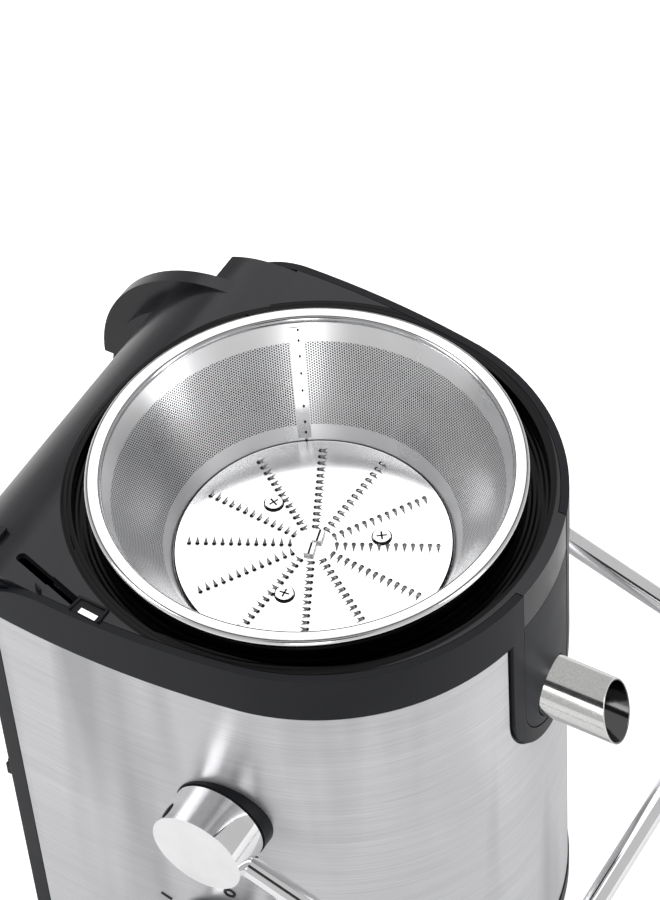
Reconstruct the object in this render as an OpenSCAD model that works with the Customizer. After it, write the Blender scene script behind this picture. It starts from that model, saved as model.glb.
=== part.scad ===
// Centrifugal juicer without its lid: body, juice bowl, strainer basket, motor, bail and dial.
// The origin is on the table, under the basket's axis. +X points to the spout, -Y to the front.

/* [Body] */
// Height of the basket rim above the table
rim_h = 275; // [268:1:300]
// How far the basket rim stands above the collar
rim_stand = 8; // [6:0.5:12]
// How far the collar's round end is outside the basket rim's radius
nose_edge = 9.3; // [8.5:0.1:12]
// Distance from the basket axis to the centre of the round end
nose_x = 7; // [5:0.5:12]
// How much the body's greatest half-width is more than the round end's radius
side_bulge = 4.7; // [4:0.1:8]
// Distance from the basket axis to the widest place, towards the left
wide_x = 50; // [44:1:56]
// How far the body's flat left side is outside the basket rim
left_edge = 6; // [4:0.5:10]
// Height of the collar's band
band_h = 24.5; // [20:0.5:30]
// Thickness of the collar's band
band_t = 1.6; // [1.2:0.1:2.4]
// Radius that rounds the collar's top towards its left end
corner_r = 44; // [40:1:48]
// Thickness of the steel sheet
sheet_t = 0.8; // [0.5:0.1:1.2]
// Wall thickness of the main shell
shell_t = 2.6; // [2:0.1:3.2]
// Wall thickness of the left side cover
cover_t = 3; // [2:0.5:4]
// Thickness of the base plate
base_t = 4; // [3:0.5:6]
// Height of the plinth rim on the base plate
plinth_h = 9; // [6:1:14]
// Height of the rubber foot ring below the base plate
foot_h = 5; // [3:0.5:8]

/* [Juice bowl] */
// How much the juice well is wider than the top of the basket's cone
well_gap = 1; // [0.5:0.1:1.2]
// Depth of the well's floor below the basket rim
well_depth = 101; // [99:0.5:106]
// Wall thickness of the bowl
bowl_t = 2.4; // [1.8:0.1:3]
// Inner radius of the tube in the middle of the well
tube_r = 16; // [15:0.5:18]
// Height of that tube above the well's floor
tube_h = 34; // [28:1:36]
// Depth of the deck below the basket rim
deck_depth = 9; // [8.5:0.5:12]
// Radius of the pulp ramp's curve
ramp_r = 53; // [48:1:58]
// Depth of the ramp's centre of curvature below the basket rim
ramp_depth = 62; // [58:1:66]
// Radius of the cheeks' curved top edge
cheek_r = 70.5; // [68:0.5:74]
// Distance from the middle to the inner face of each cheek
cheek_y = 76; // [70:1:80]
// Thickness of a cheek
cheek_t = 7; // [5:0.5:8]

/* [Spout] */
// Outer diameter of the spout
spout_d = 26.1; // [22:0.1:28]
// Wall thickness of the spout
spout_wall = 1; // [0.6:0.1:1.6]
// Depth of the spout's axis below the basket rim, where it leaves the plate
spout_depth = 90; // [86:0.5:94]
// Sideways offset of the spout from the body's middle
spout_y = 10; // [6:0.5:14]
// Slope of the spout below the horizontal, in degrees
spout_slope = 14; // [8:1:20]
// Turn of the spout towards the back, in degrees
spout_turn = 10; // [0:1:14]
// Length of the spout outside the plate
spout_out = 27.5; // [20:0.5:32]
// Slant of the spout's end against a square cut, in degrees
spout_slant = 30; // [0:1:40]
// Half-width of the spout plate
plate_r = 22.5; // [20:0.5:26]
// Depth of the centre of the plate's round end below the basket rim
plate_depth = 84.5; // [82:0.5:88]
// Width of the U-shaped frame round the spout plate
frame_w = 7; // [5:0.5:10]

/* [Basket] */
// Outer diameter of the basket rim
basket_d = 180; // [176:1:184]
// Width of the rolled rim
bead_w = 7; // [5:0.5:9]
// Thickness of the rolled rim
bead_t = 4; // [3:0.25:5]
// Thickness of the basket's sheet
mesh_t = 0.8; // [0.5:0.1:1.2]
// Depth of the grating disc below the rim
disc_depth = 48.4; // [44:0.2:52]
// Radius of the grating disc
disc_r = 57.3; // [54:0.1:60]
// Number of rows of teeth
tooth_rows = 12; // [8:1:16]
// Number of teeth in a row
teeth_in_row = 13; // [8:1:14]
// Radius of the circle of disc screws
screw_circle_r = 28.4; // [26:0.2:31]

/* [Bail] */
// Depth of the bail's pivot below the basket rim
pivot_depth = 111; // [108:0.5:114]
// Distance from the basket axis to the bail's pivot
pivot_x = 11; // [9:0.5:14]
// Diameter of the bail's rod
rod_d = 10; // [8:0.5:11]
// Clearance of the cross-piece to the collar's round end, as it swings over it
swing_gap = 0.7; // [0.5:0.1:8]
// Bend radius of the rod's corners
bend_r = 28; // [20:1:34]
// Angle of the lowered bail below the horizontal
bail_drop = 20; // [16:1:22]
// Diameter of the hub caps
hub_d = 41.5; // [36:0.5:44]
// Length of the hub caps
hub_l = 18; // [17:0.5:20]
// Diameter of the pivot pins
pin_d = 10; // [8:0.5:11]

/* [Dial] */
// Height of the dial's centre above the table
dial_h = 72; // [64:1:76]
// Distance from the basket axis to the dial's centre
dial_x = 9; // [5:1:12]
// Diameter of the dial
dial_d = 50; // [44:1:54]
// Radius of the circle of dial marks
mark_r = 35; // [34:0.5:38]
// Angle from the 0 mark to the next mark
mark_step = 65; // [55:1:70]

/* [Drive] */
// Diameter of the motor shaft
shaft_d = 8; // [6:0.5:9]
// Outer diameter of the bearings
bearing_d = 22; // [19:1:24]
// Width of the bearings
bearing_w = 7; // [6:1:8]
// Width of the square stator
stator_w = 84; // [76:1:90]
// Height of the stator's stack as a share of the motor's room
stator_share = 0.26; // [0.22:0.005:0.28]
// Height of the coils' ends as a share of the motor's room
coil_share = 0.08; // [0.06:0.005:0.085]
// Height of the fan above the base plate as a share of the motor's room
fan_share = 0.115; // [0.1:0.005:0.14]
// Radius of the armature
armature_r = 23; // [20:0.5:24]
// Radius of the cooling fan
fan_r = 38; // [30:1:42]

/* [Hidden] */
$fn = 96;
e = 0.01;
big = 400;
gap = 0.3;       // between pieces of different bodies that don't touch
fit = 0.1;       // between pieces that are seated in each other
run_fit = 0.05;  // radial clearance of a shaft or pin in its bore

// Fixed sizes
cheek_depth = 80;
cheek_step = 8;
cheek_drop = 10;
ledge_depth = 17;
lip_w = 4;
boss_r = 21.2;
spout_boss_r = spout_d / 2 + 3;
screw_r = 2;
screw_turn = 36;
mount_h = 8;
deck_t = 4;
bolt_angles = [45, 225];
boss_in = 4;
cam_top = 7.5;
cam_reach = 12.5;
stator_bolt_r = 42;
coil_half = 20;
coil_w = 8.8;
coil_in = 12;
bracket_t = 5;
comm_h = 13;
comm_r = 11;
fan_h = 12;
gland_x = -50;
gland_z = 34;
gland_r = 8;
lead_r = 3.6;
foot_in = 15;
foot_w = 8;
foot_groove = 2;
knob_shaft_r = 3;
switch_in = 30;
cam_l = 7;
ring_t = 0.6;
bezel_t = 1;
mark_t = 0.2;
knob_l = 20;
pin_in = 10;
hub_bore_r = 10.2;
tooth_in = 11;
tooth_turn = -3.5;
tooth_h = 1.5;
seam_angle = 124;
seam_w = 5.6;
corner_lift = 0.05;
hook_in = 3;
nose_over = 0.02;

// Plan places that follow the basket's size
rim_r = basket_d / 2;
cone_top_r = rim_r - bead_w;
well_r = cone_top_r + well_gap;
nose_r = rim_r + nose_edge;
half_w = nose_r + side_bulge;
left_x = rim_r + left_edge;
ramp_x = rim_r - 13;
cheek_x = rim_r - 5;
back_cheek_x = rim_r - 18;
lip_end = rim_r - 26;
trough_r = well_r + 12;
corner_x = left_x - 36;

// Levels
top_z = rim_h - rim_stand;
band_z = top_z - band_h;
base_z = foot_h;
plinth_top = base_z + plinth_h;
floor_z = rim_h - well_depth;
deck_z = rim_h - deck_depth;
ramp_z = rim_h - ramp_depth;
spout_z = rim_h - spout_depth;
plate_end_z = rim_h - plate_depth;
pivot_z = rim_h - pivot_depth;
disc_z = rim_h - disc_depth;
tube_top = floor_z + tube_h;
shell_top = deck_z - 3.2;
seam_z = top_z - 20.4;
deck_plate_z = floor_z - bowl_t - 24;

// Plan outline: a nose arc, two long side arcs that it runs into, and a flat left side
side_r = ((nose_x + wide_x) * (nose_x + wide_x) + half_w * half_w - nose_r * nose_r)
    / (2 * (half_w - nose_r));
side_y = side_r - half_w;
join_k = nose_r / (side_r - nose_r);
join_x = nose_x + join_k * (nose_x + wide_x);

// Insets of the pieces from the collar's outside
sheet_in = band_t + fit;
shell_in = sheet_in + sheet_t + fit;
inner_in = shell_in + shell_t;
land_in = 3.4;

// Half of the outline's width at a given x
function side_half(x, inset) = sqrt(pow(side_r - inset, 2) - pow(x + wide_x, 2)) - side_y;
function nose_half(x, inset) = sqrt(pow(nose_r - inset, 2) - pow(x - nose_x, 2));
function half(x, inset) = x > join_x ? nose_half(x, inset) : side_half(x, inset);
function wall_points(x1, x2, inset) = [for (x = [x1, x2]) for (s = [-1, 1]) [x, s * half(x, inset)]];

// Values that follow from the ones above
pivot_y = side_half(pivot_x, sheet_in) + 2.6;
dial_y = side_half(dial_x - mark_r, sheet_in) + 0.5;
dial_seat_y = -side_half(dial_x, inner_in) + 6;
hub_y = pivot_y + ring_t + gap;
leg_y = round(2 * hub_y + hub_l) / 2;
swing_x = nose_x + nose_r - pivot_x;
swing_r = sqrt(swing_x * swing_x + pow(top_z - pivot_z, 2));
reach = ceil(2 * (swing_r + rod_d / 2 + swing_gap)) / 2;
ledge_z = deck_plate_z - mount_h;
mount_at = wall_points(18 - left_x, nose_x + nose_r - 44, inner_in + 8);
base_screw_at = wall_points(16 - left_x, nose_x + nose_r - 36, inner_in + 3.5);
collar_left = left_x + cover_t;
cover_top = rim_h - ledge_depth - bowl_t - 0.4;
motor_room = deck_plate_z - base_z - base_t;
stator_h = stator_share * motor_room;
coil_h = coil_share * motor_room;
fan_z = base_z + base_t + fan_share * motor_room;
lower_z = fan_z + fan_h + 4;
comm_z = lower_z + 9;
stator_z = lower_z + 24 + coil_h;
stator_top = stator_z + stator_h;
upper_z = stator_top + coil_h + 6;
coil_x = stator_w / 2 - coil_in;
bore_r = armature_r + 0.7;
coupling_z = floor_z + 8;
coupling_top = disc_z - 12;
cone_low_r = disc_r + 0.6;
cone_high_r = cone_top_r + bead_t / 2 - 0.6;
cone_wall = mesh_t * 1.15;
plate_z = disc_z - mesh_t;
rod_r = rod_d / 2;
boss_y = side_half(pivot_x, inner_in) - boss_in;
pin_end = boss_y - cam_l - 2;
knob_y = dial_y + bezel_t + gap;

module outline(inset, left) {
    intersection() {
        translate([-wide_x, -side_y])
            circle(side_r - inset, $fn = 360);
        translate([-wide_x, side_y])
            circle(side_r - inset, $fn = 360);
        union() {
            translate([nose_x, 0])
                circle(nose_r + nose_over - inset, $fn = 180);
            translate([-left, -big / 2])
                square([left + join_x, big]);
        }
    }
}

module outline_slab(inset, left, z0, z1) {
    translate([0, 0, z0])
        linear_extrude(z1 - z0)
            outline(inset, left);
}

module tube_z(r1, r2, z0, z1) {
    difference() {
        translate([0, 0, z0])
            cylinder(h = z1 - z0, r = r2);
        translate([0, 0, z0 - 1])
            cylinder(h = z1 - z0 + 2, r = r1);
    }
}

// A cylinder along Y between two faces
module rod_y(x, z, r, y0, y1) {
    translate([x, y1, z])
        rotate([90, 0, 0])
            cylinder(h = y1 - y0, r = r);
}

// The stadium-shaped opening round the spout, open at the top
module spout_slot(r, z) {
    translate([nose_x, spout_y, z])
        rotate([0, 90, 0])
            cylinder(h = big / 2, r = r);
    translate([nose_x, spout_y - r, z])
        cube([big / 2, 2 * r, big]);
}

module on_spout_axis() {
    translate([nose_x + nose_r - 6, spout_y, spout_z])
        rotate([0, 0, spout_turn])
            rotate([0, 90 + spout_slope, 0])
                children();
}

// ---- housing ----

module main_shell() color([0.13, 0.13, 0.14]) {
    difference() {
        union() {
            difference() {
                outline_slab(shell_in, left_x, plinth_top, shell_top);
                outline_slab(inner_in, left_x - shell_t, plinth_top - 1, shell_top + 1);
            }
            // flat seats for the bail's hubs and the dial
            rod_y(pivot_x, pivot_z, boss_r, boss_y, pivot_y);
            rod_y(pivot_x, pivot_z, boss_r, -pivot_y, -boss_y);
            rod_y(dial_x, dial_h, dial_d / 2 + 1, -dial_y, dial_seat_y);
            // tabs that carry the motor deck, and bosses for the base screws
            intersection() {
                outline_slab(inner_in - 0.5, left_x - shell_t + 0.5, 0, rim_h);
                union() {
                    for (p = mount_at)
                        translate([p[0] - 8, p[1] - 16, ledge_z - deck_t])
                            cube([16, 32, deck_t]);
                    for (p = base_screw_at)
                        translate([p[0], p[1], plinth_top])
                            cylinder(h = 22, r = 5);
                }
            }
        }
        rod_y(pivot_x, pivot_z, pin_d / 2 + run_fit, -big / 2, big / 2);
        rod_y(dial_x, dial_h, knob_shaft_r + run_fit, -big / 2, 0);
        for (p = mount_at)
            translate([p[0], p[1], ledge_z - deck_t - 1])
                cylinder(h = deck_t + 2, r = screw_r);
        for (p = base_screw_at)
            translate([p[0], p[1], plinth_top - 1])
                cylinder(h = 16, r = screw_r);
        // way for the spout's boss, the cord's gland and the ramp
        spout_slot(spout_boss_r + 1.5, spout_z);
        rod_y(gland_x, gland_z, gland_r + fit, 0, big / 2);
        above_deck(-bowl_t - 0.4);
        trough_slab(inner_in, cover_top, big);
    }
}

module steel_wrap() color([0.78, 0.78, 0.79]) {
    difference() {
        outline_slab(sheet_in, left_x - 6, plinth_top + fit, band_z + 8);
        outline_slab(sheet_in + sheet_t, left_x + 10, plinth_top - 1, band_z + 9);
        spout_slot(plate_r + frame_w + 1.2, plate_end_z);
        rod_y(pivot_x, pivot_z, boss_r + fit, -big / 2, big / 2);
        rod_y(dial_x, dial_h, dial_d / 2 + 1 + fit, -big / 2, 0);
        rod_y(gland_x, gland_z, gland_r + fit, 0, big / 2);
    }
}

module collar_cut() {
    // rounds the top edge down towards the left end
    difference() {
        translate([-collar_left - 20, -big / 2, top_z - corner_r])
            cube([collar_left + 20 - corner_x, big, corner_r + 10]);
        rod_y(-corner_x, top_z - corner_r + corner_lift, corner_r, -big, big);
    }
}

module top_collar() color([0.14, 0.14, 0.15]) {
    difference() {
        union() {
            difference() {
                outline_slab(0, collar_left, band_z, top_z);
                outline_slab(band_t, collar_left + 10, band_z - 1, shell_top + fit);
                outline_slab(land_in, collar_left + 10, shell_top - 1, top_z + 1);
            }
            // U-shaped frame down to below the spout
            intersection() {
                difference() {
                    outline_slab(0, left_x, plate_end_z - big / 4, top_z);
                    outline_slab(shell_in - fit, left_x + 1, plate_end_z - big / 4 - 1, shell_top + fit);
                    outline_slab(land_in, left_x + 1, shell_top - 1, top_z + 1);
                }
                spout_slot(plate_r + frame_w, plate_end_z);
            }
        }
        spout_slot(plate_r, plate_end_z);
        collar_cut();
    }
}

module left_cover() color([0.12, 0.12, 0.13]) {
    difference() {
        outline_slab(sheet_in, collar_left, plinth_top + fit, cover_top);
        outline_slab(shell_in - fit / 2, left_x + fit, plinth_top - 1, cover_top + 1);
        translate([-left_x + 5.8, -big / 2, plinth_top - 1])
            cube([big, big, big]);
        // shallow curved face for the pulp container
        translate([-collar_left - 88, 0, plinth_top - 1])
            cylinder(h = big, r = 89.6);
    }
    // small hooks for the pulp container
    for (s = [-1, 1])
        translate([-collar_left - 3, s * (side_half(-collar_left, sheet_in) - hook_in) - 2, band_z / 2])
            difference() {
                cube([3.2, 4, 11]);
                translate([-1, -1, 7])
                    cube([2.5, 6, 5]);
            }
}

module base_plate() color([0.1, 0.1, 0.11]) {
    difference() {
        outline_slab(sheet_in - 0.6, collar_left, base_z, plinth_top);
        outline_slab(sheet_in + 4, left_x - 3, base_z + base_t, plinth_top + 1);
        // groove for the foot ring
        difference() {
            outline_slab(foot_in, left_x - foot_in, base_z - 1, base_z + foot_groove);
            outline_slab(foot_in + foot_w, left_x - foot_in - foot_w, base_z - 2, base_z + foot_groove + 1);
        }
        // air slots under the fan
        for (i = [-4:4])
            translate([i * 9 - 2, -26, base_z - 1])
                cube([4, 52, base_t + 2]);
        for (p = base_screw_at)
            translate([p[0], p[1], base_z - 1])
                cylinder(h = big / 10, r = screw_r);
    }
}

module foot_ring() color([0.06, 0.06, 0.06]) {
    difference() {
        outline_slab(foot_in + fit, left_x - foot_in - fit, 0, base_z + foot_groove - fit);
        outline_slab(foot_in + foot_w - fit, left_x - foot_in - foot_w + fit, -1, base_z + foot_groove);
        translate([-left_x, -20, -1])
            cube([40, 40, foot_h - 1]);
    }
}

module base_screws() color([0.7, 0.7, 0.7]) {
    for (p = base_screw_at)
        translate([p[0], p[1], base_z - 1.5]) {
            cylinder(h = base_t + 9, r = screw_r - fit);
            cylinder(h = 1.5, r = 4);
        }
}

module cord_gland() color([0.08, 0.08, 0.08]) {
    gland_y = side_half(gland_x, sheet_in);
    difference() {
        union() {
            rod_y(gland_x, gland_z, gland_r, gland_y - 12, gland_y + 2);
            rod_y(gland_x, gland_z, gland_r + 3, gland_y + 0.2, gland_y + 4);
        }
        rod_y(gland_x, gland_z, lead_r, gland_y - 20, gland_y + 20);
    }
}

module motor_deck() color([0.6, 0.6, 0.62]) {
    difference() {
        outline_slab(inner_in + 1, left_x - shell_t - 1, deck_plate_z, deck_plate_z + deck_t);
        translate([0, 0, deck_plate_z - 1])
            cylinder(h = deck_t + 2, r = bearing_d / 2 + 4);
        for (p = mount_at)
            translate([p[0], p[1], deck_plate_z - 1])
                cylinder(h = deck_t + 2, r = screw_r);
        for (a = bolt_angles)
            rotate([0, 0, a])
                translate([stator_bolt_r, 0, deck_plate_z - 1])
                    cylinder(h = deck_t + 2, r = screw_r);
        // notches round the seats of the bail's pins and cams
        rod_y(pivot_x, pivot_z, boss_r + 1, boss_y - 8, big / 2);
        rod_y(pivot_x, pivot_z, boss_r + 1, -big / 2, 8 - boss_y);
        // room for the safety switch's wires and for air
        for (x = [-60, -44])
            translate([x, -24, deck_plate_z - 1])
                cube([8, 48, deck_t + 2]);
    }
}

module rubber_mounts() color([0.05, 0.05, 0.05]) {
    for (p = mount_at)
        translate([p[0], p[1], 0])
            tube_z(screw_r, 6, ledge_z, deck_plate_z);
}

module deck_screws() color([0.7, 0.7, 0.7]) {
    for (p = mount_at)
        translate([p[0], p[1], ledge_z - deck_t]) {
            cylinder(h = mount_h + 2 * deck_t, r = screw_r - fit);
            translate([0, 0, mount_h + 2 * deck_t])
                cylinder(h = 2.4, r = 4);
        }
}

module motor_stator() color([0.45, 0.45, 0.47]) {
    difference() {
        translate([-stator_w / 2, -stator_w / 2, stator_z])
            cube([stator_w, stator_w, stator_h]);
        translate([0, 0, stator_z - 1])
            cylinder(h = stator_h + 2, r = bore_r);
        // windows for the coils
        for (s = [-1, 1])
            translate([s * (coil_x - 4) - 9, -coil_half, stator_z - 1])
                cube([18, 2 * coil_half, stator_h + 2]);
        for (a = bolt_angles)
            rotate([0, 0, a])
                translate([stator_bolt_r, 0, 0])
                    cylinder(h = big, r = screw_r);
    }
}

module field_coils() color([0.7, 0.36, 0.16]) {
    for (s = [-1, 1])
        difference() {
            translate([s * coil_x - coil_w / 2, -coil_half + 0.6, stator_z - coil_h])
                cube([coil_w, 2 * coil_half - 1.2, stator_h + 2 * coil_h]);
            translate([0, 0, stator_z - coil_h - 1])
                cylinder(h = stator_h + 2 * coil_h + 2, r = bore_r + 1);
        }
}

module bracket(z, arm_z0, arm_z1) {
    difference() {
        union() {
            translate([0, 0, z])
                cylinder(h = bearing_w + 1.5, r = bearing_d / 2 + 3);
            for (a = bolt_angles)
                rotate([0, 0, a])
                    translate([0, -8, z])
                        cube([stator_bolt_r + 6, 16, bracket_t]);
            for (a = bolt_angles)
                rotate([0, 0, a])
                    translate([stator_bolt_r, 0, arm_z0])
                        cylinder(h = arm_z1 - arm_z0, r = 5);
        }
        translate([0, 0, z - 1])
            cylinder(h = bearing_w + 4, r = bearing_d / 2);
        for (a = bolt_angles)
            rotate([0, 0, a])
                translate([stator_bolt_r, 0, 0])
                    cylinder(h = big, r = screw_r);
    }
}

module upper_bracket() color([0.7, 0.7, 0.72])
    bracket(upper_z, stator_top, deck_plate_z);

module lower_bracket() color([0.7, 0.7, 0.72])
    bracket(lower_z, lower_z, stator_z);

module bearings() color([0.75, 0.75, 0.77]) {
    for (z = [upper_z, lower_z])
        tube_z(shaft_d / 2 + run_fit, bearing_d / 2, z, z + bearing_w);
}

module brush_holders() color([0.62, 0.5, 0.2]) {
    for (s = [-1, 1])
        rotate([0, 0, 135])
            difference() {
                translate([s > 0 ? comm_r + 3 : -comm_r - 23, -5, lower_z + bracket_t + 2])
                    cube([20, 10, comm_z + 10 - lower_z - bracket_t - 2]);
                translate([s > 0 ? comm_r : -comm_r - 24, -3, comm_z + 1])
                    cube([24, 6, 7]);
            }
    // tie bars that carry the holders on the lower bracket
    for (s = [-1, 1])
        rotate([0, 0, 135])
            difference() {
                translate([s > 0 ? 6 : -comm_r - 23, -5, lower_z + bracket_t])
                    cube([comm_r + 17, 10, 2]);
                translate([0, 0, lower_z])
                    cylinder(h = 20, r = bearing_d / 2 + 3 + fit);
            }
}

module carbon_brushes() color([0.12, 0.12, 0.12]) {
    for (s = [-1, 1])
        rotate([0, 0, 135])
            translate([s > 0 ? comm_r + gap : -comm_r - gap - 18, -3 + fit, comm_z + 1 + fit])
                cube([18, 6 - 2 * fit, 7 - 2 * fit]);
}

module motor_screws() color([0.7, 0.7, 0.7]) {
    for (a = bolt_angles)
        rotate([0, 0, a])
            translate([stator_bolt_r, 0, lower_z - 2])
                cylinder(h = deck_plate_z + deck_t + 1.5 - lower_z, r = screw_r - fit);
    for (a = bolt_angles)
        rotate([0, 0, a])
            translate([stator_bolt_r, 0, lower_z - 2 - 2.4])
                cylinder(h = 2.4, r = 4);
}

module speed_switch() color([0.2, 0.2, 0.22])
    difference() {
        translate([dial_x - 15, dial_seat_y + fit, dial_h - 15])
            cube([30, switch_in, 30]);
        rod_y(dial_x, dial_h, knob_shaft_r + run_fit, -big / 2, dial_seat_y + 14);
    }

module safety_switch() color([0.25, 0.1, 0.1])
    translate([pivot_x + cam_reach + 1.5, -boss_y + 4, deck_plate_z + deck_t])
        cube([16, cam_l + 2, 10]);

module pivot_rings() color([0.05, 0.05, 0.05]) {
    for (s = [-1, 1])
        difference() {
            rod_y(pivot_x, pivot_z, hub_d / 2 - 0.3, s > 0 ? pivot_y : -pivot_y - ring_t,
                s > 0 ? pivot_y + ring_t : -pivot_y);
            rod_y(pivot_x, pivot_z, pin_d / 2 + 1, -big / 2, big / 2);
        }
}

module dial_bezel() color([0.06, 0.06, 0.06]) {
    difference() {
        rod_y(dial_x, dial_h, dial_d / 2 + 1, -dial_y - bezel_t, -dial_y);
        rod_y(dial_x, dial_h, knob_shaft_r + 1, -big / 2, 0);
    }
}

module dial_marks() color([0.05, 0.05, 0.05]) {
    // a ring and bars, each laid on the curved steel
    intersection() {
        difference() {
            outline_slab(sheet_in - mark_t, left_x, dial_h, dial_h + mark_r + 10);
            outline_slab(sheet_in, left_x + 1, dial_h - 1, dial_h + mark_r + 11);
        }
        union() {
            difference() {
                rod_y(dial_x, dial_h + mark_r, 2.6, -big / 2, 0);
                rod_y(dial_x, dial_h + mark_r, 1.8, -big, 1);
            }
            for (s = [-1, 1])
                translate([dial_x - s * mark_r * sin(mark_step), 0, dial_h + mark_r * cos(mark_step)])
                    rotate([0, -s * mark_step, 0])
                        for (k = s > 0 ? [0] : [-1, 1])
                            translate([-0.4 + k * 1.1, -big / 2, -2.6])
                                cube([0.8, big / 2, 5.2]);
        }
    }
}

// ---- juice bowl ----

// Trough round the basket: it follows the body, and is round where it meets the deck
module trough(inset) {
    intersection() {
        outline(inset, big / 2);
        union() {
            circle(r = trough_r + inner_in + gap + lip_w / 2 - inset, $fn = 180);
            translate([0, -big / 2])
                square([big, big]);
        }
    }
}

module trough_slab(inset, z0, z1) {
    translate([0, 0, z0])
        linear_extrude(z1 - z0)
            trough(inset);
}

// Well with the tube in its middle, and two rings that keep pulp out of the juice
module well_profile() {
    z0 = floor_z - bowl_t;
    r1 = well_r + bowl_t;
    ledge = rim_h - ledge_depth;
    polygon([
        [tube_r, z0], [tube_r, tube_top], [tube_r + bowl_t, tube_top], [tube_r + bowl_t, floor_z],
        [well_r, floor_z], [well_r, rim_h - 9], [r1, rim_h - 9], [r1, ledge], [r1 + 1.2, ledge],
        [r1 + 1.2, ledge + 4], [r1 + 2.4, ledge + 4], [r1 + 2.4, ledge], [r1 + 3, ledge],
        [r1 + 3, ledge - bowl_t], [r1, ledge - bowl_t], [r1, z0]
    ]);
}

// Everything above the deck and the ramp, raised by a given amount
module above_deck(raise) {
    translate([-ramp_x - e, -big / 2, deck_z + raise])
        cube([big, big, big]);
    difference() {
        translate([-big, -big / 2, 0])
            cube([big - ramp_x, big, big]);
        rod_y(-ramp_x, ramp_z, ramp_r + raise, -big, big);
        translate([-ramp_x - ramp_r - raise, -big, 0])
            cube([ramp_r + raise, 2 * big, ramp_z]);
    }
}

module below_deck(drop) {
    difference() {
        translate([-big, -big / 2, 0])
            cube([2 * big, big, deck_z - drop]);
        above_deck(-drop);
    }
}

module ramp_shell() {
    intersection() {
        difference() {
            below_deck(0);
            below_deck(bowl_t);
        }
        union() {
            outline_slab(land_in + 0.2, left_x, 0, big);
            translate([-big, -cheek_y - cheek_t, rim_h - cheek_depth])
                cube([big - left_x + e, 2 * (cheek_y + cheek_t), cheek_depth]);
        }
        translate([-big, -big, 0])
            cube([big + 20, 2 * big, big]);
    }
}

module cheek(y0, y1, drop, x_end) {
    difference() {
        union() {
            rod_y(-cheek_x, rim_h - cheek_depth, cheek_r - drop, y0, y1);
            translate([-cheek_x, y0, rim_h - cheek_depth])
                cube([cheek_x - back_cheek_x, y1 - y0, cheek_r - drop]);
        }
        translate([-big, -big, 0])
            cube([2 * big, 2 * big, rim_h - cheek_depth]);
        translate([-x_end, -big, 0])
            cube([big, 2 * big, big]);
        below_deck(bowl_t);
    }
}

module cheeks() {
    cheek(cheek_y, cheek_y + cheek_t, 0, back_cheek_x);
    cheek(cheek_y - cheek_step, cheek_y + e, cheek_drop, back_cheek_x);
    cheek(-cheek_y - cheek_t, -cheek_y, 0, left_x);
    cheek(-cheek_y - e, -cheek_y + cheek_step, cheek_drop, left_x);
}

module juice_bowl() color([0.1, 0.1, 0.11]) {
    trough_in = inner_in + gap;
    ledge = rim_h - ledge_depth;
    difference() {
        union() {
            rotate_extrude($fn = 180)
                well_profile();
            // trough: its floor, its wall and the flange on the shell's top edge
            difference() {
                trough_slab(trough_in, ledge - bowl_t, top_z);
                trough_slab(trough_in + lip_w / 2, ledge, top_z + 1);
                translate([0, 0, floor_z])
                    cylinder(h = big, r = well_r + bowl_t - e);
            }
            difference() {
                outline_slab(land_in + 0.2, lip_end, shell_top + 0.2, top_z);
                trough_slab(trough_in + lip_w / 2, 0, big);
            }
            difference() {
                ramp_shell();
                trough_slab(trough_in + lip_w / 2, 0, big);
            }
            cheeks();
            // band above the spout plate, flush with the collar
            intersection() {
                difference() {
                    outline_slab(0.2, 0, seam_z, top_z);
                    outline_slab(shell_in - 0.1, 1, seam_z - 1, shell_top + 0.2);
                    outline_slab(trough_in, 2, seam_z - 2, top_z + 1);
                }
                spout_slot(plate_r - 0.4, plate_end_z);
            }
            // boss round the spout
            intersection() {
                on_spout_axis()
                    translate([0, 0, -26])
                        cylinder(h = 40, r = spout_boss_r);
                outline_slab(shell_in - 0.1, 0, 0, big);
            }
        }
        // the lip stops where the ramp begins
        intersection() {
            above_deck(0);
            translate([-big - lip_end, -cheek_y + cheek_step, 0])
                cube([big, 2 * (cheek_y - cheek_step), big]);
        }
        on_spout_axis() {
            translate([0, 0, -14.6])
                cylinder(h = 60, r = spout_d / 2);
            translate([0, 0, -40])
                cylinder(h = 60, r = spout_d / 2 - spout_wall);
        }
        difference() {
            translate([0, 0, floor_z])
                cylinder(h = rim_h - 12 - floor_z, r = well_r);
            tube_z(0, tube_r + bowl_t, floor_z - 1, tube_top);
        }
    }
}

module spout_plate() color([0.2, 0.2, 0.21]) {
    difference() {
        intersection() {
            difference() {
                outline_slab(0.2, 0, 0, seam_z - 0.4);
                outline_slab(shell_in - 0.1, 1, -1, seam_z);
            }
            spout_slot(plate_r - 0.4, plate_end_z);
        }
        on_spout_axis()
            translate([0, 0, -40])
                cylinder(h = 80, r = spout_d / 2 + 0.4);
    }
}

module spout_tube() color([0.85, 0.85, 0.86]) {
    difference() {
        on_spout_axis()
            difference() {
                translate([0, 0, -14])
                    cylinder(h = spout_out + 40, r = spout_d / 2);
                translate([0, 0, -16])
                    cylinder(h = spout_out + 50, r = spout_d / 2 - spout_wall);
            }
        // the end is slanted, so that its lower lip reaches further out
        on_spout_axis()
            translate([0, 0, spout_out + 6.3])
                rotate([0, -spout_slant, 0])
                    translate([-big / 2, -big / 2, 0])
                        cube([big, big, big]);
    }
}

module spout_seal() color([0.05, 0.05, 0.05]) {
    on_spout_axis()
        translate([0, 0, -14.6])
            difference() {
                cylinder(h = 0.6, r = spout_d / 2 - 0.1);
                translate([0, 0, -1])
                    cylinder(h = 3, r = spout_d / 2 - spout_wall);
            }
}

module shaft_seal() color([0.05, 0.05, 0.05]) {
    tube_z(shaft_d / 2 + run_fit, tube_r - 0.1, floor_z - bowl_t, floor_z + 3);
}

// ---- rotor ----

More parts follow.
